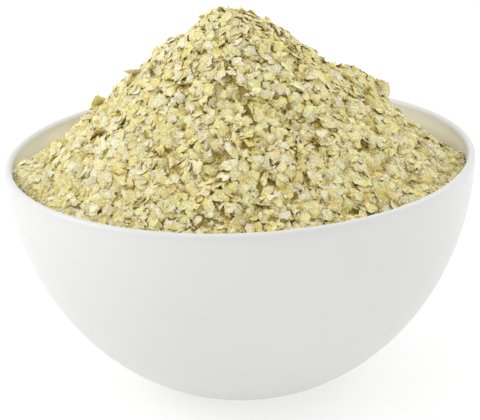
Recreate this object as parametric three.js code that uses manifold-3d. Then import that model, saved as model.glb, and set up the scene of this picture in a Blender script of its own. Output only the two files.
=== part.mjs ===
// A plain white bowl heaped with millet flakes.
// Millimetres, +Z up. The origin is the middle of the foot, on the surface that the bowl stands on.
import * as THREE from "three";
import { mergeVertices } from "three/addons/utils/BufferGeometryUtils.js";
import Module from "manifold-3d";

// Bowl
const RIM_DIAMETER = 160;
const BOWL_HEIGHT = 80;
const RIM_WALL = 2.8; // thickness of the wall at the lip
const BELLY_CENTRE = 85; // height of the outside ellipse's centre: above the rim, so the lip leans out
const BELLY_DEPTH = 89.5; // the outside ellipse's half axis downwards, cut off flat by the foot
const FLOOR_LEVEL = 4.6; // height of the inside's lowest point
const INSIDE_FULLNESS = 2.18; // exponent of the inside curve: over 2 it is fuller than an ellipse
const FOOT_WIDTH = 5; // flat ring that the bowl stands on
const FOOT_RECESS = 1.2; // the underside inside the foot ring lies this much higher
const BOWL_SEGMENTS = 64;
const WALL_STEPS = 7; // straight steps along the outside and along the inside of the wall
const LIP_STEPS = 4; // straight steps round the lip

// Heap
const HEAP_RISE = 51.6; // the peak above the rim
const REPOSE_SLOPE = 0.866; // fall for each millimetre outwards: loose flakes rest at about 41 degrees
const PEAK_RADIUS = 6.8; // the peak is blunt over about this radius
const WALL_GAP = 0.3; // clearance between the flakes and the bowl
const SHOULDER = { x: 44.5, y: 17, height: 7, spread: 5.5 }; // a slip of flakes stands out on the right
const HOLLOW = { x: 61, y: 25, height: -2.2, spread: 6.5 }; // the slope dips below the shoulder
const PEAK_TIP = { x: -4.5, y: -2, height: 1.5, spread: 3.2 }; // the tip stands left of the middle
const PEAK_SLIP = { x: 9, y: 0, height: -2.2, spread: 5 }; // flakes have slipped off on its right
const LEFT_SWELL = { x: -22, y: 8, height: 1.4, spread: 14 }; // the left flank is fuller than a cone
const LEFT_BANK = { x: -77, y: 0, height: 6.8, spread: 8 }; // on the left they lie nearly up to the rim
const RIGHT_BANK = { x: 77, y: 3, height: 4.5, spread: 5.5 }; // and less so on the right
const SMALL_LUMPS = 26; // lesser unevenness, spread at random
const SMALL_LUMP_HEIGHT = 1.1;
const SMALL_LUMP_SPREAD = 5;
const SMALL_LUMP_RANGE = 0.4; // share by which a small lump's spread differs
const HEAP_RINGS = 32; // rings of surface points, about half a flake apart
const RING_GROWTH = 6; // each ring has this many more points than the one inside it
const POINT_JITTER = 0.3; // share of the ring spacing by which a surface point strays
const UNDERSIDE_SEGMENTS = 48;
const SETTLING_PASSES = 8; // passes that find where the slope meets the wall

// Flakes
const FLAKE_DIAMETER = 3.8;
const FLAKE_RANGE = 0.3; // share by which a flake's size differs
const FLAKE_THICKNESS = 0.6;
const FLAKE_SIDES = 6;
const FLAKE_TAPER = 0.86; // upper face over lower face
const FLAKE_NARROWEST = 0.75; // width over length of the narrowest flake
const RELIEF_FLAKES = 4200; // flakes that only tilt the surface
const RELIEF_TILT = 0.6;
const RELIEF_LIFT = 0.75;
const RELIEF_LIMIT = 1.3;
const RELIEF_CALM = 8; // the relief fades over this distance from the bowl's wall
const LOOSE_FLAKES = 84; // whole flakes that lie on top
const LOOSE_TILT = 0.55;
const LOOSE_REACH = 0.88; // share of the heap's radius that they are spread over
const GOLDEN_ANGLE = Math.PI * (3 - Math.sqrt(5)); // spreads points evenly over a disc
const SEED = 41;

const RIM_RADIUS = RIM_DIAMETER / 2;
const LIP_RADIUS = RIM_WALL / 2;
const LIP_LEVEL = BOWL_HEIGHT - LIP_RADIUS; // the lip's round starts here
const OUTSIDE_REACH = RIM_RADIUS / Math.sqrt(1 - ((BELLY_CENTRE - LIP_LEVEL) / BELLY_DEPTH) ** 2);
const INSIDE_REACH = OUTSIDE_REACH - RIM_WALL;
const INSIDE_DEPTH = BELLY_CENTRE - FLOOR_LEVEL;

const wasm = await Module();
wasm.setup();

// Seeded draws between 0 and 1, the same on every run: a linear congruential generator.
function seededDraws(seed) {
  const multiplier = 1664525;
  const increment = 1013904223;
  const modulus = 2 ** 32;
  let state = seed;
  return () => {
    state = (state * multiplier + increment) % modulus;
    return state / modulus;
  };
}

// A draw between -1 and 1.
function eitherWay(draw) {
  return 2 * draw() - 1;
}

// Radius of the bowl's outside at a height.
function outsideRadius(z) {
  return OUTSIDE_REACH * Math.sqrt(1 - ((BELLY_CENTRE - z) / BELLY_DEPTH) ** 2);
}

// Radius of the bowl's inside at a height.
function insideRadius(z) {
  const down = (BELLY_CENTRE - z) / INSIDE_DEPTH;
  return INSIDE_REACH * (1 - down ** INSIDE_FULLNESS) ** (1 / INSIDE_FULLNESS);
}

// The inside of the wall in straight steps, from its lowest point on the axis up to the lip.
function insideSteps() {
  const power = 2 / INSIDE_FULLNESS;
  const last = Math.acos(((BELLY_CENTRE - LIP_LEVEL) / INSIDE_DEPTH) ** (1 / power));
  const points = [new THREE.Vector2(0, FLOOR_LEVEL)];
  for (let i = 1; i <= WALL_STEPS; i += 1) {
    const z = BELLY_CENTRE - INSIDE_DEPTH * Math.cos((i / WALL_STEPS) * last) ** power;
    points.push(new THREE.Vector2(insideRadius(z), z));
  }
  return points;
}

// Radius of the stepped inside at a height.
function wallRadius(z) {
  const steps = insideSteps();
  const above = steps.findIndex((point) => point.y > z);
  const share = (z - steps[above - 1].y) / (steps[above].y - steps[above - 1].y);
  return THREE.MathUtils.lerp(steps[above - 1].x, steps[above].x, share);
}

// Height on the outside curve, from the foot at share 0 up to the lip at share 1.
function outsideHeight(share) {
  const first = Math.acos(BELLY_CENTRE / BELLY_DEPTH);
  const last = Math.acos((BELLY_CENTRE - LIP_LEVEL) / BELLY_DEPTH);
  return BELLY_CENTRE - BELLY_DEPTH * Math.cos(first + share * (last - first));
}

// The bowl's half section: foot, outside, round lip and inside, from the axis back to the axis.
function bowlProfile() {
  const footRadius = outsideRadius(0);
  const recessRadius = footRadius - FOOT_WIDTH;
  const lipCentre = (outsideRadius(LIP_LEVEL) + insideRadius(LIP_LEVEL)) / 2;
  const lipHalf = outsideRadius(LIP_LEVEL) - lipCentre;
  const points = [new THREE.Vector2(0, FOOT_RECESS)];
  points.push(new THREE.Vector2(recessRadius - FOOT_RECESS, FOOT_RECESS));
  points.push(new THREE.Vector2(recessRadius, 0));
  for (let i = 0; i <= WALL_STEPS; i += 1) {
    const z = outsideHeight(i / WALL_STEPS);
    points.push(new THREE.Vector2(outsideRadius(z), z));
  }
  for (let i = 1; i < LIP_STEPS; i += 1) {
    const turn = (Math.PI * i) / LIP_STEPS;
    const z = LIP_LEVEL + LIP_RADIUS * Math.sin(turn);
    points.push(new THREE.Vector2(lipCentre + lipHalf * Math.cos(turn), z));
  }
  return points.concat(insideSteps().reverse());
}

function bowlGeometry() {
  const bowl = new THREE.LatheGeometry(bowlProfile(), BOWL_SEGMENTS);
  return bowl.rotateX(Math.PI / 2);
}

// Broad unevenness of the heap: the forms that show, and seeded small lumps.
function heapLumps(draw) {
  const lumps = [SHOULDER, HOLLOW, PEAK_TIP, PEAK_SLIP, LEFT_SWELL, LEFT_BANK, RIGHT_BANK];
  for (let n = 0; n < SMALL_LUMPS; n += 1) {
    const reach = LOOSE_REACH * INSIDE_REACH * Math.sqrt((n + draw()) / SMALL_LUMPS);
    const around = n * GOLDEN_ANGLE;
    lumps.push({
      x: reach * Math.cos(around),
      y: reach * Math.sin(around),
      height: SMALL_LUMP_HEIGHT * eitherWay(draw),
      spread: SMALL_LUMP_SPREAD * (1 + SMALL_LUMP_RANGE * eitherWay(draw)),
    });
  }
  return lumps;
}

// Height of the heap before its flakes: a blunt cone at the angle of repose, with its lumps.
function heapHeight(x, y, lumps) {
  const slant = Math.sqrt(x * x + y * y + PEAK_RADIUS ** 2);
  let z = BOWL_HEIGHT + HEAP_RISE - REPOSE_SLOPE * (slant - PEAK_RADIUS);
  for (const lump of lumps) {
    const away = (x - lump.x) ** 2 + (y - lump.y) ** 2;
    z += lump.height * Math.exp(-away / (2 * lump.spread ** 2));
  }
  return z;
}

// The heap's radius where it meets the wall on a bearing.
function heapEdge(around, lumps) {
  let edge = INSIDE_REACH;
  for (let n = 0; n < SETTLING_PASSES; n += 1) {
    const level = heapHeight(edge * Math.cos(around), edge * Math.sin(around), lumps);
    edge = wallRadius(level) - WALL_GAP;
  }
  return edge;
}

// Rings of surface points from the peak to the wall, evenly spaced both ways.
function surfaceRings(edge, lumps, draw) {
  const spacing = edge / HEAP_RINGS;
  const rings = [];
  for (let n = 0; n <= HEAP_RINGS; n += 1) {
    const count = Math.max(1, RING_GROWTH * n);
    const atWall = n === HEAP_RINGS;
    const jitter = n === 0 || atWall ? 0 : POINT_JITTER;
    const ring = [];
    for (let i = 0; i < count; i += 1) {
      const reach = spacing * (n + jitter * eitherWay(draw));
      const around = (2 * Math.PI * (i + jitter * eitherWay(draw))) / count;
      const radius = atWall ? heapEdge(around, lumps) : reach;
      const x = radius * Math.cos(around);
      const y = radius * Math.sin(around);
      ring.push(new THREE.Vector3(x, y, heapHeight(x, y, lumps)));
    }
    rings.push(ring);
  }
  return rings;
}

// Lays flakes in random order: each turns the surface points that it covers into one tilted plate.
function layReliefFlakes(rings, edge, draw) {
  const points = rings.slice(0, -1).flat();
  const offsets = new Float64Array(points.length);
  for (let n = 0; n < RELIEF_FLAKES; n += 1) {
    const reach = edge * Math.sqrt(draw());
    const around = 2 * Math.PI * draw();
    const x = reach * Math.cos(around);
    const y = reach * Math.sin(around);
    const radius = (FLAKE_DIAMETER / 2) * (1 + FLAKE_RANGE * eitherWay(draw));
    const tiltX = RELIEF_TILT * eitherWay(draw);
    const tiltY = RELIEF_TILT * eitherWay(draw);
    const lift = RELIEF_LIFT * eitherWay(draw);
    points.forEach((point, i) => {
      const dx = point.x - x;
      const dy = point.y - y;
      if (dx * dx + dy * dy < radius * radius) {
        offsets[i] = lift + tiltX * dx + tiltY * dy;
      }
    });
  }
  points.forEach((point, i) => {
    const calm = THREE.MathUtils.smoothstep(edge - Math.hypot(point.x, point.y), 0, RELIEF_CALM);
    point.z += calm * THREE.MathUtils.clamp(offsets[i], -RELIEF_LIMIT, RELIEF_LIMIT);
  });
}

// Rings along the steps of the bowl's inside, from just below the heap's edge to the bowl's floor.
function undersideRings(edge) {
  const level = heapHeight(edge, 0, []) - FLAKE_DIAMETER;
  const steps = insideSteps().filter((point) => point.y < level);
  return steps.reverse().map((point) => {
    const count = point.x === 0 ? 1 : UNDERSIDE_SEGMENTS;
    const radius = point.x === 0 ? 0 : point.x - WALL_GAP;
    const ring = [];
    for (let i = 0; i < count; i += 1) {
      const around = (2 * Math.PI * i) / count;
      const x = radius * Math.cos(around);
      const y = radius * Math.sin(around);
      ring.push(new THREE.Vector3(x, y, point.y + WALL_GAP));
    }
    return ring;
  });
}

// Triangles between two rings of point numbers that go round the same way, whatever their counts.
function zipRings(triangles, upper, lower) {
  let u = 0;
  let l = 0;
  while (u < upper.length || l < lower.length) {
    const a = upper[u % upper.length];
    const b = lower[l % lower.length];
    const upperNext = l === lower.length || (u + 1) * lower.length < (l + 1) * upper.length;
    if (upperNext) u += 1;
    else l += 1;
    const c = upperNext ? upper[u % upper.length] : lower[l % lower.length];
    if (c !== a && c !== b) triangles.push(a, b, c);
  }
}

// One closed surface over a stack of rings, from a single top point to a single bottom point.
function ringsGeometry(rings) {
  const positions = rings.flat().flatMap((point) => point.toArray());
  const triangles = [];
  let first = 0;
  const numbers = rings.map((ring) => {
    const list = ring.map((_, i) => first + i);
    first += ring.length;
    return list;
  });
  for (let n = 1; n < numbers.length; n += 1) {
    zipRings(triangles, numbers[n - 1], numbers[n]);
  }
  const geometry = new THREE.BufferGeometry();
  geometry.setAttribute("position", new THREE.Float32BufferAttribute(positions, 3));
  geometry.setIndex(triangles);
  return geometry;
}

// A whole flake with few sides, lying on the heap at a tilt and sunk to half its thickness.
function looseFlake(n, edge, lumps, draw) {
  const reach = LOOSE_REACH * edge * Math.sqrt((n + 0.5) / LOOSE_FLAKES);
  const around = n * GOLDEN_ANGLE;
  const x = reach * Math.cos(around);
  const y = reach * Math.sin(around);
  const radius = (FLAKE_DIAMETER / 2) * (1 + FLAKE_RANGE * draw());
  const narrow = THREE.MathUtils.lerp(FLAKE_NARROWEST, 1, draw());
  const flake = new THREE.CylinderGeometry(FLAKE_TAPER * radius, radius, FLAKE_THICKNESS, FLAKE_SIDES);
  flake.rotateX(Math.PI / 2).scale(1, narrow, 1).rotateZ(2 * Math.PI * draw());
  const normal = new THREE.Vector3(REPOSE_SLOPE * Math.cos(around), REPOSE_SLOPE * Math.sin(around), 1);
  normal.x += LOOSE_TILT * eitherWay(draw);
  normal.y += LOOSE_TILT * eitherWay(draw);
  const up = new THREE.Vector3(0, 0, 1);
  const turn = new THREE.Quaternion().setFromUnitVectors(up, normal.normalize());
  const z = heapHeight(x, y, lumps) + FLAKE_THICKNESS;
  return flake.applyQuaternion(turn).translate(x, y, z);
}

// A closed geometry as a solid that can be joined to others.
function solidOf(geometry) {
  const bare = geometry.clone();
  bare.deleteAttribute("normal");
  bare.deleteAttribute("uv");
  const merged = mergeVertices(bare);
  const vertProperties = new Float32Array(merged.getAttribute("position").array);
  const triVerts = new Uint32Array(merged.index.array);
  return new wasm.Manifold(new wasm.Mesh({ numProp: 3, vertProperties, triVerts }));
}

// The largest body of a solid, with any sealed hollow filled and loose scraps dropped, as a geometry.
function largestBody(solid) {
  const bodies = solid.decompose();
  bodies.sort((a, b) => b.volume() - a.volume());
  const mesh = bodies[0].getMesh();
  const geometry = new THREE.BufferGeometry();
  geometry.setAttribute("position", new THREE.BufferAttribute(mesh.vertProperties, 3));
  geometry.setIndex(new THREE.BufferAttribute(mesh.triVerts, 1));
  geometry.computeVertexNormals();
  return geometry;
}

function heapGeometry() {
  const draw = seededDraws(SEED);
  const lumps = heapLumps(draw);
  const edge = heapEdge(0, []);
  const rings = surfaceRings(edge, lumps, draw);
  layReliefFlakes(rings, edge, draw);
  let heap = solidOf(ringsGeometry([...rings, ...undersideRings(edge)]));
  for (let n = 0; n < LOOSE_FLAKES; n += 1) {
    heap = heap.add(solidOf(looseFlake(n, edge, lumps, draw)));
  }
  return largestBody(heap);
}

const glaze = new THREE.MeshStandardMaterial({ color: 0xf0f0ed, roughness: 0.3, metalness: 0 });
const flakes = new THREE.MeshStandardMaterial({ color: 0xdccf98, roughness: 0.85, metalness: 0 });

function named(name, geometry, material) {
  const mesh = new THREE.Mesh(geometry, material);
  mesh.name = name;
  return mesh;
}

const part = new THREE.Group();
part.add(named("bowl", bowlGeometry(), glaze));
part.add(named("millet_flakes", heapGeometry(), flakes));

export default part;
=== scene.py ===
# %% [markdown]
# # A white bowl heaped with millet flakes
# The object is a plain white bowl with a round bottom, filled with rolled millet until the flakes stand in a
# cone above its rim. The CAD model gives the true sizes, with one solid for the bowl and one for the heap.
# This lesson dresses both: the bowl is turned again with a fine profile and a glaze, and the heap becomes
# thousands of separate flakes that lie on a core of their own.

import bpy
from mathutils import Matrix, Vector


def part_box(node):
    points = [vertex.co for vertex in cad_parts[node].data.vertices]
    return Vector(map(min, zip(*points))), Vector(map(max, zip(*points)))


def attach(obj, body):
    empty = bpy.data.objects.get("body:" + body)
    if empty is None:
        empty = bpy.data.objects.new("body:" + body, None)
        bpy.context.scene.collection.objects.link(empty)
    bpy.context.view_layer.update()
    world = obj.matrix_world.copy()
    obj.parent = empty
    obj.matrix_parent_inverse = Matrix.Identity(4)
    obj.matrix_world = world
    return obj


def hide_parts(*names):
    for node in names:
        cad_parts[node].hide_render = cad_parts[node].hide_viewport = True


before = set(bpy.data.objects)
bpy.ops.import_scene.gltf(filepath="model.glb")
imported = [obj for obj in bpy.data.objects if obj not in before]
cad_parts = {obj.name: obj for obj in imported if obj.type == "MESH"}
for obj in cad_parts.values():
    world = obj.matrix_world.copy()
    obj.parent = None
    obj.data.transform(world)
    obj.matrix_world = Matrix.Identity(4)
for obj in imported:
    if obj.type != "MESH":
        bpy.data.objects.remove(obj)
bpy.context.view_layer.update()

# %% [markdown]
# ## Camera
# The picture was taken with a long lens from about a metre away, a little above the rim, and the camera was
# not quite level. A camera can be placed by eye, but the rim's ellipse and the bowl's outline give its
# height, lens and turn, so those numbers are used. The aim is the point of the object that lies in the
# middle of the picture.

# %% Camera
import math

import bpy
from mathutils import Matrix, Vector

MM = 0.001
PICTURE_WIDTH = 480
LENS_IN_PIXELS = 2942
SENSOR_WIDTH = 36
CAMERA_DISTANCE = 1000 * MM
CAMERA_ELEVATION = math.radians(18.46)
CAMERA_TURN = math.radians(-2.34)
CAMERA_AIM = Vector((-0.6, -6.0, 62.0)) * MM
BOWL_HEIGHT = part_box("bowl")[1].z

scene = bpy.context.scene
towards_camera = Vector((0, -math.cos(CAMERA_ELEVATION), math.sin(CAMERA_ELEVATION)))
camera_place = Vector((0, 0, BOWL_HEIGHT)) + CAMERA_DISTANCE * towards_camera

camera_data = bpy.data.cameras.new("camera")
camera_data.sensor_width = SENSOR_WIDTH
camera_data.lens = SENSOR_WIDTH * LENS_IN_PIXELS / PICTURE_WIDTH
camera = bpy.data.objects.new("camera", camera_data)
scene.collection.objects.link(camera)
looking = (CAMERA_AIM - camera_place).to_track_quat("-Z", "Y").to_matrix().to_4x4()
tipped = Matrix.Rotation(CAMERA_TURN, 4, "Z")
camera.matrix_world = Matrix.Translation(camera_place) @ looking @ tipped
scene.camera = camera
print(f"camera at {tuple(camera_place)}, lens {camera_data.lens:.1f} mm")

# %% [markdown]
# ## Light
# The object stands in a bright white room: white sheets all round and above throw back so much light that
# nearly all sides are lit alike. Lamps could shine on such sheets, but a uniform world does the same and has
# no edges to mirror in the glaze. One soft lamp on the left and a weaker one on the right, higher and
# farther back, are area lights that bring out the form. The Standard view transform keeps white paper white.

# %% Light
WHITE = (1, 1, 1, 1)
ROOM_LIGHT = 1.06
LEFT_LAMP = {"place": Vector((-1.5, 0.0, 1.05)), "size": 1.0, "power": 14.0}
RIGHT_LAMP = {"place": Vector((1.3, 0.6, 1.2)), "size": 1.0, "power": 7.0}


def soft_lamp(name, place, size, power):
    """Adds a square area light that looks at the middle of the object."""
    lamp_data = bpy.data.lights.new(name, "AREA")
    lamp_data.size = size
    lamp_data.energy = power
    lamp = bpy.data.objects.new(name, lamp_data)
    scene.collection.objects.link(lamp)
    lamp.location = place
    lamp.rotation_euler = (CAMERA_AIM - place).to_track_quat("-Z", "Y").to_euler()


scene.view_settings.view_transform = "Standard"
world = bpy.data.worlds.new("bright_room")
world.use_nodes = True
sheets = world.node_tree.nodes["Background"]
sheets.inputs["Strength"].default_value = ROOM_LIGHT
sheets.inputs["Color"].default_value = WHITE
scene.world = world
soft_lamp("left_lamp", **LEFT_LAMP)
soft_lamp("right_lamp", **RIGHT_LAMP)
print("bright room, with lamps of", LEFT_LAMP["power"], "W and", RIGHT_LAMP["power"], "W")

# %% [markdown]
# ## Light table
# Food pictures on pure white are often taken on a light table: a white sheet that glows, so that the ground
# melts into the white around it and only a faint shadow is left under the bowl. A plain white floor would
# take a darker shadow. So this floor is a mid grey that also gives off light of its own: the glow makes it
# white, and the grey takes just a little of the shadow.

# %% Light table
import bmesh

TABLE_SIZE = 6.0
TABLE_GREY = (0.36, 0.36, 0.36, 1)
TABLE_ROUGHNESS = 0.9
TABLE_GLOW = 0.60


def new_finish(name):
    """A material with its node tree and its shader."""
    finish = bpy.data.materials.new(name)
    finish.use_nodes = True
    return finish, finish.node_tree, finish.node_tree.nodes["Principled BSDF"]


floor_mesh = bpy.data.meshes.new("light_table")
bm = bmesh.new()
bmesh.ops.create_grid(bm, x_segments=1, y_segments=1, size=TABLE_SIZE / 2)
bm.to_mesh(floor_mesh)
bm.free()
floor = bpy.data.objects.new("light_table", floor_mesh)
scene.collection.objects.link(floor)
glowing_sheet, _, shader = new_finish("glowing_sheet")
shader.inputs["Base Color"].default_value = TABLE_GREY
shader.inputs["Roughness"].default_value = TABLE_ROUGHNESS
shader.inputs["Emission Color"].default_value = WHITE
shader.inputs["Emission Strength"].default_value = TABLE_GLOW
floor_mesh.materials.append(glowing_sheet)
print("light table of", TABLE_SIZE, "m")

# %% [markdown]
# ## The bowl's form
# The bowl is a body of revolution, as if thrown on a wheel. Its outside is part of an ellipse whose centre
# lies a little above the rim, its inside is a slightly fuller curve, and a small half round joins them at the
# lip. Points could be picked by hand along a drawing, but a profile that is worked out from a few sizes can
# be as fine as it needs to be.

# %% Bowl profile
RIM_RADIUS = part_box("bowl")[1].x
RIM_WALL = 2.8 * MM
BELLY_CENTRE = 85 * MM
BELLY_DEPTH = 89.5 * MM
FLOOR_LEVEL = 4.6 * MM
INSIDE_FULLNESS = 2.18
FOOT_WIDTH = 5 * MM
FOOT_RECESS = 1.2 * MM
WALL_STEPS = 40
LIP_STEPS = 10

LIP_RADIUS = RIM_WALL / 2
LIP_LEVEL = BOWL_HEIGHT - LIP_RADIUS
OUTSIDE_REACH = RIM_RADIUS / math.sqrt(1 - ((BELLY_CENTRE - LIP_LEVEL) / BELLY_DEPTH) ** 2)
INSIDE_REACH = OUTSIDE_REACH - RIM_WALL
INSIDE_DEPTH = BELLY_CENTRE - FLOOR_LEVEL


def outside_radius(level):
    """Radius of the bowl's outside at a height."""
    return OUTSIDE_REACH * math.sqrt(1 - ((BELLY_CENTRE - level) / BELLY_DEPTH) ** 2)


def inside_radius(level):
    """Radius of the bowl's inside at a height."""
    down = min(1, max(0, (BELLY_CENTRE - level) / INSIDE_DEPTH))
    return INSIDE_REACH * (1 - down**INSIDE_FULLNESS) ** (1 / INSIDE_FULLNESS)


def bowl_profile():
    """The half section as radius and height, from the underside's middle round to the inside's middle."""
    foot_radius = outside_radius(0)
    points = [(0, FOOT_RECESS)]
    points.append((foot_radius - FOOT_WIDTH - FOOT_RECESS, FOOT_RECESS))
    points.append((foot_radius - FOOT_WIDTH, 0))
    low_turn = math.acos(BELLY_CENTRE / BELLY_DEPTH)
    high_turn = math.acos((BELLY_CENTRE - LIP_LEVEL) / BELLY_DEPTH)
    for i in range(WALL_STEPS + 1):
        level = BELLY_CENTRE - BELLY_DEPTH * math.cos(low_turn + i / WALL_STEPS * (high_turn - low_turn))
        points.append((outside_radius(level), level))
    lip_middle = (outside_radius(LIP_LEVEL) + inside_radius(LIP_LEVEL)) / 2
    lip_half = outside_radius(LIP_LEVEL) - lip_middle
    for i in range(1, LIP_STEPS):
        around = math.pi * i / LIP_STEPS
        points.append((lip_middle + lip_half * math.cos(around), LIP_LEVEL + LIP_RADIUS * math.sin(around)))
    power = 2 / INSIDE_FULLNESS
    last_turn = math.acos(((BELLY_CENTRE - LIP_LEVEL) / INSIDE_DEPTH) ** (1 / power))
    for i in range(WALL_STEPS, -1, -1):
        level = BELLY_CENTRE - INSIDE_DEPTH * math.cos(i / WALL_STEPS * last_turn) ** power
        points.append((inside_radius(level), level))
    return points


profile = bowl_profile()
print(len(profile), "profile points, foot radius", round(outside_radius(0) / MM, 1), "mm")

# %% [markdown]
# ## Turning the bowl
# A screw modifier could turn the profile, but spin in bmesh gives the finished mesh at once. The profile
# becomes a chain of edges that spin carries once round the axis. Where it starts and ends on the axis, all
# copies fall on one point, so the doubles are merged before the normals are recalculated. The two corners of
# the foot ring get a small bevel, because no potter leaves them sharp.

# %% Turn the bowl
TURN_STEPS = 160
TURN_MERGE = 0.002 * MM
GROUND_LIMIT = 0.01 * MM
SAME_RADIUS = 0.1 * MM
FOOT_ROUND = 0.45 * MM
FOOT_ROUND_STEPS = 3
SHARP_ANGLE = math.radians(38)


def runs_round_foot(edge):
    """Whether an edge lies on the ground and runs round the foot ring, not across it."""
    first, second = edge.verts
    grounded = max(first.co.z, second.co.z) < GROUND_LIMIT
    return grounded and abs(first.co.xy.length - second.co.xy.length) < SAME_RADIUS


def finished_object(name, mesh):
    """An object at the origin that shades smoothly, apart from its sharp edges, and rides on the part."""
    mesh.shade_smooth()
    mesh.set_sharp_from_angle(angle=SHARP_ANGLE)
    piece = bpy.data.objects.new(name, mesh)
    scene.collection.objects.link(piece)
    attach(piece, "root")
    return piece


bm = bmesh.new()
chain = [bm.verts.new((radius, 0, level)) for radius, level in profile]
for start, end in zip(chain, chain[1:]):
    bm.edges.new((start, end))
bmesh.ops.spin(
    bm,
    geom=bm.verts[:] + bm.edges[:],
    cent=(0, 0, 0),
    axis=(0, 0, 1),
    angle=2 * math.pi,
    steps=TURN_STEPS,
    use_merge=True,
)
bmesh.ops.remove_doubles(bm, verts=bm.verts[:], dist=TURN_MERGE)
bmesh.ops.recalc_face_normals(bm, faces=bm.faces[:])
bmesh.ops.bevel(
    bm,
    geom=[edge for edge in bm.edges if runs_round_foot(edge)],
    affect="EDGES",
    offset=FOOT_ROUND,
    segments=FOOT_ROUND_STEPS,
    profile=0.5,
    material=-1,
)
bowl_mesh = bpy.data.meshes.new("bowl_turned")
bm.to_mesh(bowl_mesh)
bm.free()
bowl = finished_object("bowl_turned", bowl_mesh)
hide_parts("bowl")
print("bowl with", len(bowl_mesh.polygons), "faces")

# %% [markdown]
# ## Painted light and shade on the glaze
# The lip faces the light from above, and the heap keeps the inside in shade. So the lip's glaze is painted
# greyer, as painted shade, and the inside's lighter and creamy, as painted light with the yellow that the
# flakes throw back. Three materials could share the bowl, but their borders would be hard. A value for each
# point, kept as an attribute of the mesh, lets one material fade from each colour to the next.

# %% Painted light and shade on the glaze
LIP_BAND = 1.0 * MM
OUTSIDE_ZONE = 0.5


def painted_light_zone(spot):
    """Where the glaze is painted at a point: 0 on the lip, which gets painted shade, the outside's value
    outside, and 1 inside, which gets painted light.
    """
    radius, level = spot.xy.length, spot.z
    inside = level > FOOT_RECESS and radius < (inside_radius(level) + outside_radius(level)) / 2
    off_the_lip = min(1, max(0, (BOWL_HEIGHT - level) / (LIP_RADIUS + LIP_BAND)))
    return off_the_lip * (1.0 if inside else OUTSIDE_ZONE)


painted_light_layer = bowl_mesh.attributes.new("painted_light_zone", "FLOAT", "POINT")
painted_light_layer.data.foreach_set("value", [painted_light_zone(vert.co) for vert in bowl_mesh.vertices])
# The lip's painted shade fades out over this band below the lip.
print("glaze thins out over", round((LIP_RADIUS + LIP_BAND) / MM, 1), "mm below the lip")

# %% [markdown]
# ## Helpers for finishes
# A finish is a tree of nodes. Added one by one, each node takes a line to make it and another for each value
# and link. These helpers do that work, so that the finishes below can be read as recipes: a value that is
# given to a node is set on its socket, and the output of another node is linked to it.

# %% Helpers for finishes
NOISE_START = 0.3
NOISE_END = 0.7


def feed(tree, node, values):
    """Gives values to a node's sockets. One that is a socket itself is linked."""
    for socket, value in values.items():
        if isinstance(value, bpy.types.NodeSocket):
            tree.links.new(value, node.inputs[socket])
        else:
            node.inputs[socket].default_value = value


def add_node(tree, kind, values=None, **settings):
    """A new node with its settings, fed with values."""
    node = tree.nodes.new(kind)
    for name, setting in settings.items():
        setattr(node, name, setting)
    feed(tree, node, values or {})
    return node


def attribute(tree, name, output):
    """An attribute of the mesh."""
    return add_node(tree, "ShaderNodeAttribute", attribute_name=name).outputs[output]


def noise(tree, place, scale, detail=2.0, roughness=0.5):
    """Soft random grey with about as many features to the unit of place as scale says."""
    values = {"Vector": place, "Scale": scale, "Detail": detail, "Roughness": roughness}
    return add_node(tree, "ShaderNodeTexNoise", values).outputs["Fac"]


def spread(tree, value, low, high, start=NOISE_START, end=NOISE_END):
    """Maps a value between start and end to low and high."""
    values = {"Value": value, "From Min": start, "From Max": end, "To Min": low, "To Max": high}
    return add_node(tree, "ShaderNodeMapRange", values).outputs["Result"]


def combine(tree, operation, first, second):
    """The result of an operation on two greys."""
    return add_node(tree, "ShaderNodeMath", {0: first, 1: second}, operation=operation).outputs["Value"]


def mix_colour(tree, share, first, second, blend="MIX"):
    """Mixes two colours, whose sockets on the node have the numbers 6 and 7."""
    values = {0: share, 6: first, 7: second}
    return add_node(tree, "ShaderNodeMix", data_type="RGBA", blend_type=blend, values=values).outputs[2]


def bump(tree, height, strength, depth, **under):
    """Fine relief that only bends the light, on top of another one's Normal if that is given."""
    values = {"Height": height, "Strength": strength, "Distance": depth, **under}
    return add_node(tree, "ShaderNodeBump", values).outputs["Normal"]


print("noise is spread from", NOISE_START, "to", NOISE_END, "unless a finish says otherwise")

# %% [markdown]
# ## The glaze
# The glaze is a soft white with a satin gloss. Up close a fired glaze is never quite even: it is a shade
# thicker here and there, its gloss varies, and it ripples slightly. Noise on Object coordinates gives all
# three without an image. The ring that the bowl stands on was wiped clean before firing, so it is matt clay.

# %% Glaze
# The lip's grey is painted shade for the light from above, and the inside's cream is painted light, with the
# yellow that the flakes throw back.
GLAZE_LIP_PAINTED_SHADE = (0.60, 0.60, 0.59, 1)
GLAZE_THIN = (0.65, 0.65, 0.635, 1)
GLAZE_THICK = (0.67, 0.67, 0.655, 1)
GLAZE_INSIDE_PAINTED_LIGHT = (0.90, 0.905, 0.84, 1)
BARE_CLAY = (0.78, 0.74, 0.67, 1)
WIPED_BELOW = 0.25 * MM
GLAZED_ABOVE = 0.6 * MM
CLOUD_SCALE = 24
SATIN_SCALE = 60
RIPPLE_SCALE = 45
WIDE_NOISE = {"start": 0.2, "end": 0.8}
SATIN = {"low": 0.30, "high": 0.36}
RIPPLE_STRENGTH = 0.05
RIPPLE_DEPTH = 0.3 * MM
GLAZE_GLOSS = 0.35

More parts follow.
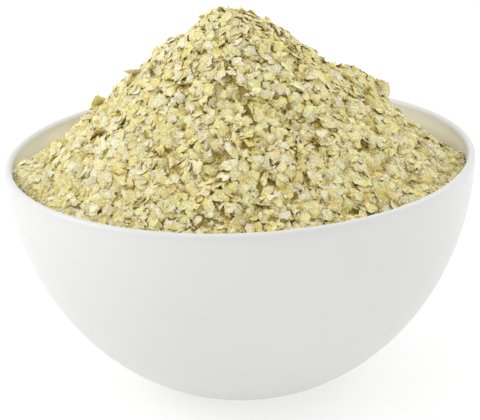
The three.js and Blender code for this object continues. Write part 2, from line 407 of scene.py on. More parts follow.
glaze, tree, shader = new_finish("white_glaze")
place = add_node(tree, "ShaderNodeTexCoord").outputs["Object"]
height = add_node(tree, "ShaderNodeSeparateXYZ", {"Vector": place}).outputs["Z"]
wiped = spread(tree, height, 1.0, 0.0, start=WIPED_BELOW, end=GLAZED_ABOVE)
cloud = spread(tree, noise(tree, place, CLOUD_SCALE), 0, 1, **WIDE_NOISE)
glaze_outside = mix_colour(tree, cloud, GLAZE_THIN, GLAZE_THICK)
# The lip's colour is painted shade and the inside's colour is painted light, faded in by this attribute.
painted_light_value = attribute(tree, "painted_light_zone", "Fac")
off_lip_shade = spread(tree, painted_light_value, 0, 1, start=0.0, end=OUTSIDE_ZONE)
with_lip_shade = mix_colour(tree, off_lip_shade, GLAZE_LIP_PAINTED_SHADE, glaze_outside)
inside = spread(tree, painted_light_value, 0, 1, start=OUTSIDE_ZONE, end=1.0)
glaze_colour = mix_colour(tree, inside, with_lip_shade, GLAZE_INSIDE_PAINTED_LIGHT)
satin = spread(tree, noise(tree, place, SATIN_SCALE), **SATIN, **WIDE_NOISE)
glaze_values = {
    "Base Color": mix_colour(tree, wiped, glaze_colour, BARE_CLAY),
    "Roughness": combine(tree, "MAXIMUM", satin, wiped),
    "Normal": bump(tree, noise(tree, place, RIPPLE_SCALE), RIPPLE_STRENGTH, RIPPLE_DEPTH),
    "Specular IOR Level": GLAZE_GLOSS,
}
feed(tree, shader, glaze_values)
bowl_mesh.materials.append(glaze)
print("glaze with", len(tree.nodes), "nodes")

# %% [markdown]
# ## The heap's core
# Nobody sees the inside of the heap, but the flakes need something to lie on, and where a gap between them is
# deep, something has to be there. A plain cone would do, but a copy of the CAD heap already has the right
# peak, and the shoulder on its right. Its facets are relaxed with smooth_vert, apart from a ring of points
# along the wall, which would shrink away from it.

# %% Core from the CAD heap
CAD_MERGE = 0.005 * MM
WALL_RING = 1 * MM
SMOOTHING_PASSES = 3
SMOOTHING = 0.5


def from_wall(spot):
    """How far a point is from the bowl's inside, level with it."""
    return inside_radius(spot.z) - spot.xy.length


core = bmesh.new()
core.from_mesh(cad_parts["millet_flakes"].data)
bmesh.ops.remove_doubles(core, verts=core.verts[:], dist=CAD_MERGE)
free_points = [vert for vert in core.verts if from_wall(vert.co) > WALL_RING]
for _ in range(SMOOTHING_PASSES):
    bmesh.ops.smooth_vert(
        core,
        verts=free_points,
        factor=SMOOTHING,
        use_axis_x=True,
        use_axis_y=True,
        use_axis_z=True,
    )
print(len(free_points), "of", len(core.verts), "points of the core relaxed")

# %% [markdown]
# ## Clumps, and room for the bed
# Loose flakes cling and slip, so a heap of them is lumpy. A displace modifier could do this, but here the
# points move one by one, so that the change can fade out towards the wall. Soft noise gives clumps about two
# flakes wide, and the top goes down by the depth of the bed of flakes that follows, so that the finished heap
# is about as high as the CAD one.

# %% Clumps in the core
from mathutils import noise as soft_noise

BED_DEPTH = 2.3 * MM
HEAP_EDGE_LEVEL = 71.4 * MM
EDGE_FADE = 5 * MM
CLUMP_SIZE = 9 * MM
CLUMP_HEIGHT = 2.6 * MM
CLUMP_CALM = 0.8
CLUMP_FINER = 2.0
CLUMP_LAYERS = 2
CORE_CLEARANCE = 0.4 * MM

for vert in core.verts:
    if vert.co.z > HEAP_EDGE_LEVEL - BED_DEPTH:
        lump = soft_noise.fractal(vert.co / CLUMP_SIZE, CLUMP_CALM, CLUMP_FINER, CLUMP_LAYERS)
        fade = min(1, max(0, from_wall(vert.co) / EDGE_FADE))
        vert.co.z += fade * (CLUMP_HEIGHT * lump - BED_DEPTH)
    limit = inside_radius(vert.co.z) - CORE_CLEARANCE
    if vert.co.xy.length > limit:
        vert.co.xy *= limit / vert.co.xy.length
core.normal_update()
core_mesh = bpy.data.meshes.new("heap_core")
core.to_mesh(core_mesh)
heap_core = finished_object("heap_core", core_mesh)
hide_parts("millet_flakes")
print("core with", len(core_mesh.polygons), "faces")

# %% [markdown]
# ## The outline of a flake
# A millet flake is a small grain that was steamed and rolled flat: a thin plate with a ragged edge. Some
# snapped in two, and crumbs broke off them. A photo of flakes could be traced, but random edges give as many
# outlines as are needed. Each one starts as a flat disc of one face, its edge is roughened, and a broken
# flake is cut with bisect_plane.

# %% Outline of a flake
import numpy as np

SEED = 23
OVAL = 0.12
TRIANGULAR = 0.1
NOTCH_CHANCE = 0.2
NOTCH_LEAVES = (0.55, 0.8)
CORNER_SLIDE = 0.16
BREAK_RAGGED = (-0.14, 0.08)
CLOSE = 1e-4

draw = np.random.default_rng(SEED)


def ragged_outline(corners, ragged, narrow):
    """A flat face of about unit radius with a ragged, slightly oval edge and a few notches."""
    bm = bmesh.new()
    bmesh.ops.create_circle(bm, cap_ends=True, segments=corners, radius=1)
    lobes = draw.uniform(0, 2 * math.pi, 2)
    for vert in bm.verts:
        around = math.atan2(vert.co.y, vert.co.x)
        reach = 1 + OVAL * math.sin(2 * around + lobes[0]) + TRIANGULAR * math.sin(3 * around + lobes[1])
        reach += draw.uniform(-ragged, ragged)
        if draw.random() < NOTCH_CHANCE:
            reach *= draw.uniform(*NOTCH_LEAVES)
        around += draw.uniform(-CORNER_SLIDE, CORNER_SLIDE)
        vert.co.xy = (reach * math.cos(around), narrow * reach * math.sin(around))
    return bm


def snap(bm, distance, direction):
    """Breaks off what lies past a line, and roughens the break."""
    along = Vector((math.cos(direction), math.sin(direction), 0))
    everything = bm.verts[:] + bm.edges[:] + bm.faces[:]
    bmesh.ops.bisect_plane(bm, geom=everything, plane_co=along * distance, plane_no=along, clear_outer=True)
    for vert in bm.verts:
        if abs(vert.co.dot(along) - distance) < CLOSE:
            vert.co += along * draw.uniform(*BREAK_RAGGED)


def centre_form(bm):
    """Moves the flat form to its middle and scales it to a half length of 1."""
    places = np.array([vert.co for vert in bm.verts])
    middle = (places.max(0) + places.min(0)) / 2
    half = (places.max(0) - places.min(0)).max() / 2
    for vert in bm.verts:
        vert.co = (vert.co - Vector(middle)) / half


print("outlines are drawn with seed", SEED)

# %% [markdown]
# ## Thickness and bend
# A flake is thickest in its middle, and it bent as it dried. A Solidify modifier would give it a blunt edge
# all round. Here poke gives the flat face a middle, solidify gives it two sides, and remove_doubles joins
# them again in a thin edge. A curled flake also gets a ring of points halfway out, so that it can bend more.

# %% Thickness and bend of a flake
CUP = (0.3, 1.0)
TWIST = 0.7
WAVE = 0.1


def bend_heights(bm, bend):
    """How far the bend of drying lifts each point of a flat form: a fold, a twist and a little waviness."""
    fold = draw.uniform(0, math.pi)
    cup = bend * draw.uniform(*CUP)
    twist = bend * draw.uniform(-TWIST, TWIST)
    lift = {}
    for vert in bm.verts:
        across = vert.co.x * math.cos(fold) + vert.co.y * math.sin(fold)
        wave = draw.uniform(-WAVE, WAVE)
        lift[vert.co.x, vert.co.y] = cup * across**2 + twist * vert.co.x * vert.co.y + wave
    return lift


def thicken(bm, thickness, bend, rings):
    """Makes the flat form a bent flake with a thin edge, and tells which of its faces look up."""
    bmesh.ops.poke(bm, faces=bm.faces[:])
    if rings:
        spokes = [edge for edge in bm.edges if not edge.is_boundary]
        bmesh.ops.subdivide_edges(bm, edges=spokes, cuts=rings)
    bmesh.ops.triangulate(bm, faces=bm.faces[:])
    lift = bend_heights(bm, bend)
    rim = {(vert.co.x, vert.co.y) for vert in bm.verts if vert.is_boundary}
    bmesh.ops.solidify(bm, geom=bm.faces[:], thickness=thickness)
    level = sum(vert.co.z for vert in bm.verts) / len(bm.verts)
    for vert in bm.verts:
        vert.co.z = 0 if (vert.co.x, vert.co.y) in rim else vert.co.z - level
    bmesh.ops.remove_doubles(bm, verts=bm.verts[:], dist=CLOSE)
    bmesh.ops.recalc_face_normals(bm, faces=bm.faces[:])
    bm.normal_update()
    upper = np.array([face.normal.z > 0 for face in bm.faces])
    for vert in bm.verts:
        vert.co.z += lift[vert.co.x, vert.co.y]
    return upper


print("a flake waves by up to", WAVE, "of its half length")

# %% [markdown]
# ## A set of shapes
# Every flake could be a shape of its own, but that would take long. One or two dozen shapes of each kind are
# made and then laid at many sizes and turns, which is enough for no repeat to show. A shape that is repeated
# hundreds of times has to stay at a few dozen faces, so each kind has only as many corners as it needs. Each
# shape is kept as arrays, because arrays can be copied thousands of times in one go.

# %% Flake shapes
SHAPES = {"flat_flakes": 24, "curled_flakes": 18, "broken_flakes": 26, "flake_crumbs": 12}
OUTLINE = {
    "flat_flakes": {"corners": 13, "ragged": 0.17},
    "curled_flakes": {"corners": 11, "ragged": 0.2},
    "broken_flakes": {"corners": 10, "ragged": 0.2},
    "flake_crumbs": {"corners": 6, "ragged": 0.25},
}
NARROW = {
    "flat_flakes": (0.7, 1.0),
    "curled_flakes": (0.62, 0.95),
    "broken_flakes": (0.7, 1.0),
    "flake_crumbs": (0.55, 0.95),
}
BODY = {
    "flat_flakes": {"thickness": 0.12, "bend": 0.14, "rings": 0},
    "curled_flakes": {"thickness": 0.14, "bend": 0.45, "rings": 1},
    "broken_flakes": {"thickness": 0.2, "bend": 0.25, "rings": 0},
    "flake_crumbs": {"thickness": 0.5, "bend": 0.15, "rings": 0},
}
FIRST_BREAK = (-0.15, 0.35)
SECOND_BREAK_CHANCE = 0.6
SECOND_BREAK = (0.05, 0.45)
BREAK_CORNER = (1.2, 2.2)
KINDS = tuple(SHAPES)


def break_up(bm):
    """Snaps a flat form once, and often a second time at a corner to that."""
    direction = draw.uniform(0, 2 * math.pi)
    snap(bm, draw.uniform(*FIRST_BREAK), direction)
    if draw.random() < SECOND_BREAK_CHANCE:
        snap(bm, draw.uniform(*SECOND_BREAK), direction + draw.uniform(*BREAK_CORNER))


def flake_form(kind):
    """A random shape: points, triangles, which of them look up, and where points lie seen from above."""
    narrow = draw.uniform(*NARROW[kind])
    bm = ragged_outline(narrow=narrow, **OUTLINE[kind])
    if kind == "broken_flakes":
        break_up(bm)
    centre_form(bm)
    upper = thicken(bm, **BODY[kind])
    bm.verts.index_update()
    points = np.array([vert.co for vert in bm.verts])
    triangles = np.array([[vert.index for vert in face.verts] for face in bm.faces])
    bm.free()
    return {
        "points": points,
        "triangles": triangles,
        "upper": upper,
        "edge": np.hypot(points[:, 0], points[:, 1]),
        "bearing": np.arctan2(points[:, 1], points[:, 0]),
        "half": np.abs(points[:, :2]).max(0),
    }


forms = {kind: [flake_form(kind) for _ in range(SHAPES[kind])] for kind in KINDS}
for kind in KINDS:
    faces = [len(form["triangles"]) for form in forms[kind]]
    print(kind, len(faces), "shapes with", min(faces), "to", max(faces), "triangles")

# %% [markdown]
# ## A bed to lay them on
# Rigid body physics could pour the flakes, but twenty thousand thin plates would take far too long to settle.
# A map of heights is enough here: it holds how high the heap is at each spot, seen from above. At first that
# is the core's own height, read with rays from a BVH tree. Where a ray misses, or only meets the core's steep
# edge beside the wall, the map goes on outwards from the last good spot.

# %% Height map
from mathutils.bvhtree import BVHTree

CELL = 0.4 * MM
EDGE_SLOPE = 0.1
EDGE_STEP = 1.5 * CELL
STEEPEST = 0.5
HEAP_RADIUS = max(-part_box("millet_flakes")[0].x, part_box("millet_flakes")[1].x)
RAY_START = 0.3
DOWN = Vector((0, 0, -1))

cells = int(2 * RIM_RADIUS / CELL) + 1
spots = (np.arange(cells) - (cells - 1) / 2) * CELL
spot_reach = np.hypot(*np.meshgrid(spots, spots, indexing="ij"))


def cell_at(place):
    """Number of the cell at a place along one side of the map."""
    return round(place / CELL) + (cells - 1) // 2


def heights_over(solid):
    """Heights of a solid under every spot of the map, which fall slowly beyond its edge."""
    found = np.full((cells, cells), np.nan)
    for i, j in np.argwhere(spot_reach < HEAP_RADIUS):
        hit, normal = solid.ray_cast(Vector((spots[i], spots[j], RAY_START)), DOWN)[:2]
        if hit is not None and normal.z > STEEPEST:
            found[i, j] = hit.z
    beyond = np.argwhere(np.isnan(found))
    for i, j in beyond[np.argsort(spot_reach[np.isnan(found)])]:
        inward = 1 - EDGE_STEP / spot_reach[i, j]
        last = cell_at(spots[i] * inward), cell_at(spots[j] * inward)
        found[i, j] = found[last] - EDGE_SLOPE * EDGE_STEP
    return found


core_heights = heights_over(BVHTree.FromBMesh(core))
core.free()
heights = core_heights.copy()
print("height map of", cells, "by", cells, "cells, peak", round(core_heights.max() / MM, 1), "mm")

# %% [markdown]
# ## Where a flake lands
# Whole flakes, broken ones and crumbs fall in mixed order, but most crumbs trickle down last. Flakes that
# fell anywhere would leave holes, so each one takes the spot of a few random ones where the bed is thinnest.
# A crumb has more spots to choose from, as it finds its way into gaps. The larger flakes keep some way off
# the wall.

# %% Where a flake lands
LAID = {"flat_flakes": 4600, "curled_flakes": 2600, "broken_flakes": 7000, "flake_crumbs": 7000}
CRUMB_DELAY = 0.45
CHOICES = {"flat_flakes": 2, "curled_flakes": 2, "broken_flakes": 2, "flake_crumbs": 5}
OFF_WALL = {"flat_flakes": 0.9, "curled_flakes": 0.9, "broken_flakes": 0.4, "flake_crumbs": 0.2}


def fall_order():
    """The kinds in the order in which they fall."""
    kinds = np.repeat(KINDS, [LAID[kind] for kind in KINDS])
    turns = draw.random(len(kinds)) + CRUMB_DELAY * (kinds == "flake_crumbs")
    return kinds[np.argsort(turns)]


def window_at(i, j, size):
    """The part of the map round a cell."""
    return slice(max(0, i - size), i + size + 1), slice(max(0, j - size), j + size + 1)


def bed_depth(i, j, length):
    """Mean depth of the bed under a flake at a cell."""
    under = window_at(i, j, max(1, round(length / CELL)))
    return (heights[under] - core_heights[under]).mean()


def landing_cell(kind, length):
    """The cell of a few random ones where the bed under a flake is thinnest."""
    limit = HEAP_RADIUS - OFF_WALL[kind] * length
    reaches = limit * np.sqrt(draw.random(CHOICES[kind]))
    bearings = draw.uniform(0, 2 * math.pi, CHOICES[kind])
    found = []
    for reach, bearing in zip(reaches, bearings):
        found.append((cell_at(reach * math.cos(bearing)), cell_at(reach * math.sin(bearing))))
    return min(found, key=lambda cell: bed_depth(*cell, length))


print(sum(LAID.values()), "flakes to lay, of", len(KINDS), "kinds")

# %% [markdown]
# ## How a flake lies
# A flake that comes to rest follows the slope under it, but not quite: a plane is fitted to the heights round
# the spot and tilted at random. A few flakes stay caught, almost on edge. A heap is roughest in the middle of
# its slope, so flakes lie more calmly at its top and at its sides. At the sides they also lie flatter than
# the slope and lean to the front, or to the back behind the peak: seen edge on, flakes would have dark
# slots between them.

# %% How a flake lies
WINDOW = 8
LEAST_REACH = 1.5 * CELL
TILT = 0.4
CAUGHT_SHARE = 0.18
CAUGHT_TILT = 1.0
TILT_LIMIT = 1.2
TOP_CALM = 0.35
SIDE_CALM = 0.85
SIDE_FLATTER = 0.3825
SIDE_LEAN = 0.34
BACK_START = 15 * MM

near = np.arange(-WINDOW, WINDOW + 1) * CELL
near_x, near_y = np.meshgrid(near, near, indexing="ij")


def fitted_slopes(patch, length):
    """Slopes of a plane that fits the heights under a flake in the middle of a patch."""
    under = near_x**2 + near_y**2 <= max(length, LEAST_REACH) ** 2
    square = (near_x[under] ** 2).sum()
    return (near_x[under] * patch[under]).sum() / square, (near_y[under] * patch[under]).sum() / square


def flake_slopes(i, j, patch, length):
    """Slopes of a flake at a cell, how unevenly flakes lie there, and whether this one is caught."""
    aside = abs(spots[i]) / HEAP_RADIUS
    up = max(0, heights[i, j] - BOWL_HEIGHT) / (core_heights.max() - BOWL_HEIGHT)
    unrest = (1 - SIDE_CALM * aside) * (1 - TOP_CALM * up)
    caught = draw.random() < CAUGHT_SHARE * unrest
    tilts = draw.normal(0, CAUGHT_TILT if caught else TILT * unrest, 2)
    slope_x, slope_y = fitted_slopes(patch, length) + np.clip(tilts, -TILT_LIMIT, TILT_LIMIT)
    slope_x *= 1 - SIDE_FLATTER * aside
    slope_y += (SIDE_LEAN if spots[j] < BACK_START else -SIDE_LEAN) * aside
    return slope_x, slope_y, unrest, caught


def flake_axes(slope_x, slope_y, turn):
    """Unit vectors along a flake, across it and out of its face."""
    along = np.array([math.cos(turn), math.sin(turn), slope_x * math.cos(turn) + slope_y * math.sin(turn)])
    out = np.array([-slope_x, -slope_y, 1.0])
    along /= np.linalg.norm(along)
    out /= np.linalg.norm(out)
    return along, np.cross(out, along), out


print("a window of", len(near), "by", len(near), "cells is looked at round each flake")

# %% [markdown]
# ## What a flake rests on
# A stiff plate rests on its few highest points of contact. Here a flake goes down until a share of the
# spots under it lie below it, and the rest press into it a little, where nobody sees it. A flake that would
# reach through the bowl's wall is moved inwards. Thin flakes also give way: cloth physics could bend them,
# but letting each point down part of the way to the bed looks much the same. In the middle of the slope
# they are stiffer, and a caught one doesn't give way at all, so that dark gaps stay open there.

# %% What a flake rests on
SUPPORT = 0.6
EDGE_POINTS = 8
WALL_CLEARANCE = 0.2 * MM
STIFFNESS = 0.75
GIVE_LIMIT = 0.8 * MM


def shares_out(plane, axes, half, length):
    """How far out on a flake each cell of its window lies, squared: 0 in its middle and 1 on its edge."""
    along, across, _ = axes
    share_along = (near_x * along[0] + near_y * along[1] + plane * along[2]) / (length * half[0])
    share_across = (near_x * across[0] + near_y * across[1] + plane * across[2]) / (length * half[1])
    return share_along**2 + share_across**2


def resting_level(gaps):
    """The level at which a flake has its share of the spots under it below it."""
    return np.sort(gaps)[int(SUPPORT * (len(gaps) - 1))]


def inside_the_wall(centre, axes, half, length):
    """A flake's middle, moved inwards by as much as its edge reaches past the bowl's wall."""
    along, across, _ = axes
    push = 0.0
    for turn in np.arange(EDGE_POINTS) * 2 * math.pi / EDGE_POINTS:
        edge = centre + length * (half[0] * math.cos(turn) * along + half[1] * math.sin(turn) * across)
        push = max(push, math.hypot(edge[0], edge[1]) - inside_radius(edge[2]) + WALL_CLEARANCE)
    if push > 0:
        centre[:2] -= push * centre[:2] / np.linalg.norm(centre[:2])
    return centre


def draped_points(form, length, axes, sag):
    """Points of a flake round its middle, with one face or the other up, let down by the sag under them."""
    along, across, out = axes
    face = 1 if draw.random() < 0.5 else -1
    points = length * form["points"] @ np.stack([along, face * across, face * out])
    cell = np.clip(np.rint(points[:, :2] / CELL).astype(int) + WINDOW, 0, 2 * WINDOW)
    points[:, 2] -= sag[cell[:, 0], cell[:, 1]]
    return points


print(f"a flake gives way by up to {GIVE_LIMIT / MM} mm")

# %% [markdown]
# ## Laying the flakes
# Now the flakes fall one by one. Each is laid as the cells above say, and then the map rises by the flake's
# thickness where it lies, less towards its thin edge, so that the next one can rest on it. A second map notes
# which flake was the last to cover each spot. Flakes that are the last at no spot lie under others, so they
# are left out, and so is a flake whose window would reach past the map.

# %% Lay the flakes
HALF_LENGTH = {
    "flat_flakes": 2.3 * MM,
    "curled_flakes": 2.0 * MM,
    "broken_flakes": 1.35 * MM,
    "flake_crumbs": 0.66 * MM,
}
SIZE_SPREAD = 0.18
SIZE_LIMIT = 0.36
THICKNESS = {"flat_flakes": 0.16, "curled_flakes": 0.2, "broken_flakes": 0.2, "flake_crumbs": 0.5}
THIN_EDGE = 0.75
COVER = 0.5


def settled_points(i, j, kind, form, length):
    """Points of a flake that comes to rest at a cell. The maps are brought up to date with it."""
    window = window_at(i, j, WINDOW)
    patch = heights[window]
    slope_x, slope_y, unrest, caught = flake_slopes(i, j, patch, length)
    axes = flake_axes(slope_x, slope_y, draw.uniform(0, 2 * math.pi))
    out = axes[2]
    plane = slope_x * near_x + slope_y * near_y
    from_middle = shares_out(plane, axes, form["half"], length)
    under = from_middle <= max(1, from_middle.min())
    level = resting_level((patch - plane)[under])
    thickness = THICKNESS[kind] * length
    centre = np.array([spots[i], spots[j], level]) + out * thickness / 2
    centre = inside_the_wall(centre, axes, form["half"], length)
    give = 0 if caught else 1 - STIFFNESS * unrest
    sag = give * np.clip(plane + level - patch, 0, GIVE_LIMIT)
    top = plane + level - sag + thickness * (1 - THIN_EDGE * from_middle) / out[2]
    patch[under] = np.maximum(patch[under], top[under])
    last_on_top[window][from_middle <= COVER] = len(laid)
    return centre + draped_points(form, length, axes, sag)


last_on_top = np.full(heights.shape, -1)
laid = []
for kind in fall_order():
    form = forms[kind][draw.integers(len(forms[kind]))]
    length = HALF_LENGTH[kind] * (1 + np.clip(draw.normal(0, SIZE_SPREAD), -SIZE_LIMIT, SIZE_LIMIT))
    i, j = landing_cell(kind, length)
    if heights[window_at(i, j, WINDOW)].shape == near_x.shape:
        points = settled_points(i, j, kind, form, length)
        laid.append({"kind": kind, "form": form, "length": length, "points": points})

showing = [laid[number] for number in np.unique(last_on_top) if number >= 0]
rise = (heights - core_heights)[spot_reach < HEAP_RADIUS]
print(len(laid), "flakes laid,", len(showing), "of them showing")
print(f"the bed is {rise.mean() / MM:.2f} mm deep on average")

# %% [markdown]
# ## Hollows in the bed
# Light that reaches a hollow has gone through other flakes, each of which took some blue from it, so hollows
# look golden. A renderer could follow that light through every flake, but it would take long. Instead the
# height map is evened out with a box mean, and what lies below that even bed counts as deep.

# %% Hollows in the bed
HOLLOW_CELLS = 11


def evened(field, size):
    """A map in which each cell is the mean of a square round it, taken along one side and then the other."""
    for _ in range(2):
        sums = np.cumsum(np.pad(field, ((size // 2 + 1, size // 2), (0, 0)), mode="edge"), axis=0)
        field = ((sums[size:] - sums[:-size]) / size).T
    return field


def depths_under(points):
    """How far some points lie below the even bed."""
    cell = np.rint(points[..., :2] / CELL).astype(int) + (cells - 1) // 2
    return even_bed[cell[..., 0], cell[..., 1]] - points[..., 2]


even_bed = evened(heights, HOLLOW_CELLS)
print(f"hollows lie up to {(even_bed - heights).max() / MM:.1f} mm below the even bed")

# %% [markdown]
# ## Colours of the flakes
# Rolled millet is pale where the starch shows and yellower towards the rim, where a little of the skin is
# left. No two flakes are quite alike: most are cream, some nearly white, some greenish, pinkish or golden. A
# colour for each point of each flake, kept as an attribute of the mesh, holds this better than a noise
# texture could, because it stays with its flake. It also holds the painted shade of the hollows, a darker
# gold.

# %% Flake colours
TINTS = np.array(
    [
        (0.98, 0.92, 0.53),
        (0.98, 0.95, 0.74),
        (0.97, 0.88, 0.42),
        (0.94, 0.94, 0.53),
        (0.98, 0.87, 0.62),
        (0.95, 0.81, 0.35),
    ]
)
TINT_SHARES = (0.30, 0.24, 0.14, 0.12, 0.12, 0.08)
DULLEST = 0.85
RIM_TINT = np.array((0.94, 0.86, 0.45))
# The hollows' tint is painted shade: darker and more golden where light reaches only through other flakes.
HOLLOW_SHADE_TINT = np.array((0.58, 0.46, 0.14))
DEEP = 0.8 * MM


def flake_tints(count):
    """One colour for each of a number of flakes."""
    tints = TINTS[draw.choice(len(TINTS), size=count, p=TINT_SHARES)]
    return tints * draw.uniform(DULLEST, 1, (count, 1))


def point_colours(form, points):
    """Colours of every point of some flakes: yellower at one side of the rim, and darker gold in hollows, as
    painted shade.
    """
    tints = flake_tints(len(points))[:, None, :]
    skin_side = draw.uniform(0, 2 * math.pi, (len(points), 1))
    skin = np.clip(form["edge"], 0, 1) * (0.5 + 0.5 * np.cos(form["bearing"] - skin_side))
    down = np.clip(depths_under(points) / DEEP, 0, 1)
    return tints * (1 + skin[:, :, None] * (RIM_TINT - 1)) * (1 + down[:, :, None] * (HOLLOW_SHADE_TINT - 1))


print("mean tint", np.round(np.average(TINTS, axis=0, weights=TINT_SHARES), 3))

# %% [markdown]
# ## A field for each flake
# The colours can only be baked into an image if every flake has a place of its own on a UV map. Unwrapping
# thousands of flakes would be slow and untidy. Each one is flat, so it gets a small field instead, with its
# upper side on the left and its lower side on the right.

# %% Fields on the UV map
UPPER_MIDDLE = (0.25, 0.5)
LOWER_MIDDLE = (0.75, 0.5)
SIDES = 2
SIDE_SHAPE = (1 / SIDES, 1.0)
SIDE_SHARE = 0.47


def form_uv(form):
    """The field of one flake: a place between 0 and 1 for each corner of each triangle."""
    flat = form["points"][:, :2] / np.abs(form["points"][:, :2]).max()
    middle = np.where(form["upper"][:, None, None], UPPER_MIDDLE, LOWER_MIDDLE)
    return middle + flat[form["triangles"]] * SIDE_SHARE * SIDE_SHAPE


def uv_fields(form, numbers, columns, rows):
    """The fields of some flakes of one shape, which have these numbers on the map."""
    corners = np.stack([numbers % columns, numbers // columns], axis=1)
    return (corners[:, None, None, :] + form_uv(form)) / (columns, rows)


print("each side of a flake takes up", 2 * SIDE_SHARE, "of its half of a field")

# %% [markdown]
# ## Joining the flakes
# Thousands of objects would be slow, so all flakes of a kind become one mesh. The shapes were made with bmesh
# operators, and here their copies are only put one after the other. Geometry nodes could place them too, but
# arrays keep the colours and the fields with each flake. A last attribute gives each flake its own stretch of
# grain, in millimetres, so that no two flakes have the same specks.

# %% Arrays of all flakes of a kind
GRAIN_APART = 400


def joined_arrays(kind):
    """Points, triangles, colours, grain and UV places of all flakes of a kind that show.

    A field holds two sides next to each other, so the UV map has fewer columns than rows.
    """
    chosen = [flake for flake in showing if flake["kind"] == kind]
    columns = math.ceil(math.sqrt(len(chosen) / SIDES))
    rows = math.ceil(len(chosen) / columns)
    parts = {"points": [], "triangles": [], "colours": [], "grain": [], "uv": []}
    first_point = 0
    first_number = 0
    for form in forms[kind]:
        group = [flake for flake in chosen if flake["form"] is form]
        numbers = np.arange(len(group))
        points = np.array([flake["points"] for flake in group])
        lengths = np.array([flake["length"] for flake in group])[:, None, None]
        starts = (first_point + numbers * len(form["points"]))[:, None, None]
        parts["points"].append(points.reshape(-1, 3))
        parts["triangles"].append((starts + form["triangles"]).reshape(-1, 3))
        parts["colours"].append(point_colours(form, points).reshape(-1, 3))
        apart = draw.uniform(0, GRAIN_APART, (len(group), 1, 3))
        parts["grain"].append((form["points"] * lengths / MM + apart).reshape(-1, 3))
        parts["uv"].append(uv_fields(form, first_number + numbers, columns, rows).reshape(-1, 2))
        first_point += len(group) * len(form["points"])
        first_number += len(group)
    return {name: np.concatenate(part) for name, part in parts.items()}


print("the grain of two flakes is up to", GRAIN_APART, "mm apart")

# %% Join the flakes


def triangle_mesh(name, points, triangles):
    """A mesh of triangles from arrays."""
    mesh = bpy.data.meshes.new(name)
    mesh.vertices.add(len(points))
    mesh.vertices.foreach_set("co", points.ravel())
    mesh.loops.add(triangles.size)
    mesh.loops.foreach_set("vertex_index", triangles.ravel())
    mesh.polygons.add(len(triangles))
    mesh.polygons.foreach_set("loop_start", np.arange(len(triangles)) * 3)
    mesh.update(calc_edges=True)
    return mesh


def joined_mesh(kind):
    """One mesh of all flakes of a kind that show, with their colours, grain and UV map."""
    arrays = joined_arrays(kind)
    mesh = triangle_mesh(kind, arrays["points"], arrays["triangles"])
    rgba = np.ones((len(arrays["colours"]), 4))
    rgba[:, :3] = arrays["colours"]
    tint = mesh.attributes.new("flake_tint", "FLOAT_COLOR", "POINT")
    tint.data.foreach_set("color", rgba.ravel())
    grain = mesh.attributes.new("flake_grain", "FLOAT_VECTOR", "POINT")
    grain.data.foreach_set("vector", arrays["grain"].ravel())
    uv = mesh.uv_layers.new(name="OFBake")
    uv.data.foreach_set("uv", arrays["uv"].ravel())
    return mesh


flake_pieces = []
for kind in KINDS:
    piece = finished_object(kind, joined_mesh(kind))
    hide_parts("millet_flakes")
    flake_pieces.append(piece)
    print(kind, len(piece.data.polygons), "triangles")

# %% [markdown]
# ## The finish of the flakes
# Dry rolled grain is matt and slightly mealy, and lets a little light through. An image of it would have to
# be very large, so the finish is made of patterns on the grain attribute. Over the flake's own colour, soft
# noise lays patches of pale starch and finer noise patches of yellow skin. The borders of a pattern of
# cells are cracks, and the finest noise makes pits, both darker and golden. Pits and cracks are also bump,
# far smaller than the flakes, whose shape is real.

# %% Colour of the flakes' surface
STARCH = (0.97, 0.92, 0.69, 1)
SKIN = (0.80, 0.66, 0.28, 1)
CRACK = (0.68, 0.56, 0.26, 1)
STARCH_NOISE = {"scale": 0.55, "detail": 3, "roughness": 0.6}
STARCH_SPREAD = {"low": 0, "high": 0.65, "start": 0.5}
SKIN_NOISE = {"scale": 1.3, "detail": 4, "roughness": 0.65}
SKIN_SPREAD = {"low": 0, "high": 0.8, "start": 0.56}
CRACK_SCALE = 1.1
CRACK_SPREAD = {"low": 0.25, "high": 1.0, "start": 0.0, "end": 0.08}
MEAL_NOISE = {"scale": 1.8, "detail": 4, "roughness": 0.65}
PIT_SPREAD = {"low": 0.35, "high": 1.0, "start": 0.3, "end": 0.46}

millet, tree, shader = new_finish("rolled_millet")
tint = attribute(tree, "flake_tint", "Color")
grain_place = attribute(tree, "flake_grain", "Vector")
starch_patch = spread(tree, noise(tree, grain_place, **STARCH_NOISE), **STARCH_SPREAD)
with_starch = mix_colour(tree, starch_patch, tint, STARCH)
skin_patch = spread(tree, noise(tree, grain_place, **SKIN_NOISE), **SKIN_SPREAD)
with_skin = mix_colour(tree, skin_patch, with_starch, SKIN)
crack_values = {"Vector": grain_place, "Scale": CRACK_SCALE}
crackle = add_node(tree, "ShaderNodeTexVoronoi", crack_values, feature="DISTANCE_TO_EDGE")
cracks = spread(tree, crackle.outputs["Distance"], **CRACK_SPREAD)
mealy = noise(tree, grain_place, **MEAL_NOISE)
sound = combine(tree, "MULTIPLY", cracks, spread(tree, mealy, **PIT_SPREAD))
crack_tint = mix_colour(tree, sound, CRACK, WHITE)
millet_colour = mix_colour(tree, 1.0, with_skin, crack_tint, blend="MULTIPLY")
print("flake colour with", len(tree.nodes), "nodes")

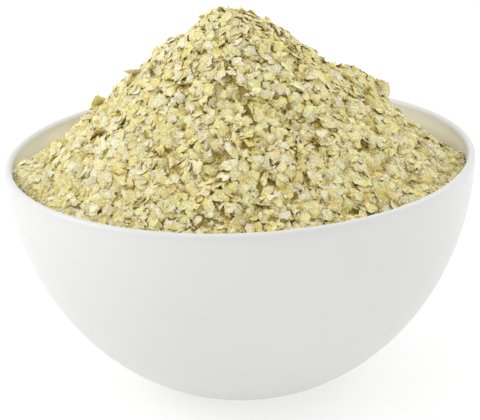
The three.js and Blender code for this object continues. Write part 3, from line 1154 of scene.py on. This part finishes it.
# %% Flake finish
MEAL_ROUGHNESS = {"low": 0.64, "high": 0.88}
MEAL_STRENGTH = 1.0
MEAL_DEPTH = 0.5 * MM
CRACK_STRENGTH = 0.5
CRACK_DEPTH = 0.2 * MM
MILLET_GLOSS = 0.18
LIGHT_THROUGH = 0.25
LIGHT_COLOURS = (1.0, 0.75, 0.3)
LIGHT_REACH = 0.8 * MM

meal_relief = bump(tree, mealy, MEAL_STRENGTH, MEAL_DEPTH)
millet_values = {
    "Base Color": millet_colour,
    "Roughness": spread(tree, mealy, **MEAL_ROUGHNESS),
    "Normal": bump(tree, cracks, CRACK_STRENGTH, CRACK_DEPTH, Normal=meal_relief),
    "Specular IOR Level": MILLET_GLOSS,
    "Subsurface Weight": LIGHT_THROUGH,
    "Subsurface Radius": LIGHT_COLOURS,
    "Subsurface Scale": LIGHT_REACH,
}
feed(tree, shader, millet_values)
for piece in flake_pieces:
    piece.data.materials.append(millet)
print("flake finish with", len(tree.nodes), "nodes")

# %% [markdown]
# ## The finish of the core
# The core only shows in the deepest gaps, as the flakes underneath would. Those flakes lie in the heap's
# shade, so the core's dark gold is painted shade. One plain colour would look like paste there. A pattern of
# cells about as large as a flake gives each patch its own dark gold, and the same cells tilt the surface as
# bump.

# %% Core finish
# These two golds are painted shade, for flakes that lie deep in the heap.
DEEP_SHADE_DARK = (0.44, 0.33, 0.08, 1)
DEEP_SHADE_PALE = (0.62, 0.49, 0.14, 1)
CELLS_TO_THE_METRE = 330
DEEP_ROUGHNESS = {"low": 0.7, "high": 0.9, "start": 0, "end": 1}
PLATE_STRENGTH = 0.6
PLATE_DEPTH = 0.6 * MM

deep_millet_painted_shade, tree, shader = new_finish("deep_millet_painted_shade")
place = add_node(tree, "ShaderNodeTexCoord").outputs["Object"]
plates = add_node(tree, "ShaderNodeTexVoronoi", {"Vector": place, "Scale": CELLS_TO_THE_METRE})
plate_grey = add_node(tree, "ShaderNodeSeparateColor", {"Color": plates.outputs["Color"]}).outputs["Red"]
deep_shade_values = {
    "Base Color": mix_colour(tree, plate_grey, DEEP_SHADE_DARK, DEEP_SHADE_PALE),
    "Roughness": spread(tree, plate_grey, **DEEP_ROUGHNESS),
    "Normal": bump(tree, plates.outputs["Distance"], PLATE_STRENGTH, PLATE_DEPTH),
}
feed(tree, shader, deep_shade_values)
core_mesh.materials.append(deep_millet_painted_shade)
print("core finish with", len(tree.nodes), "nodes")
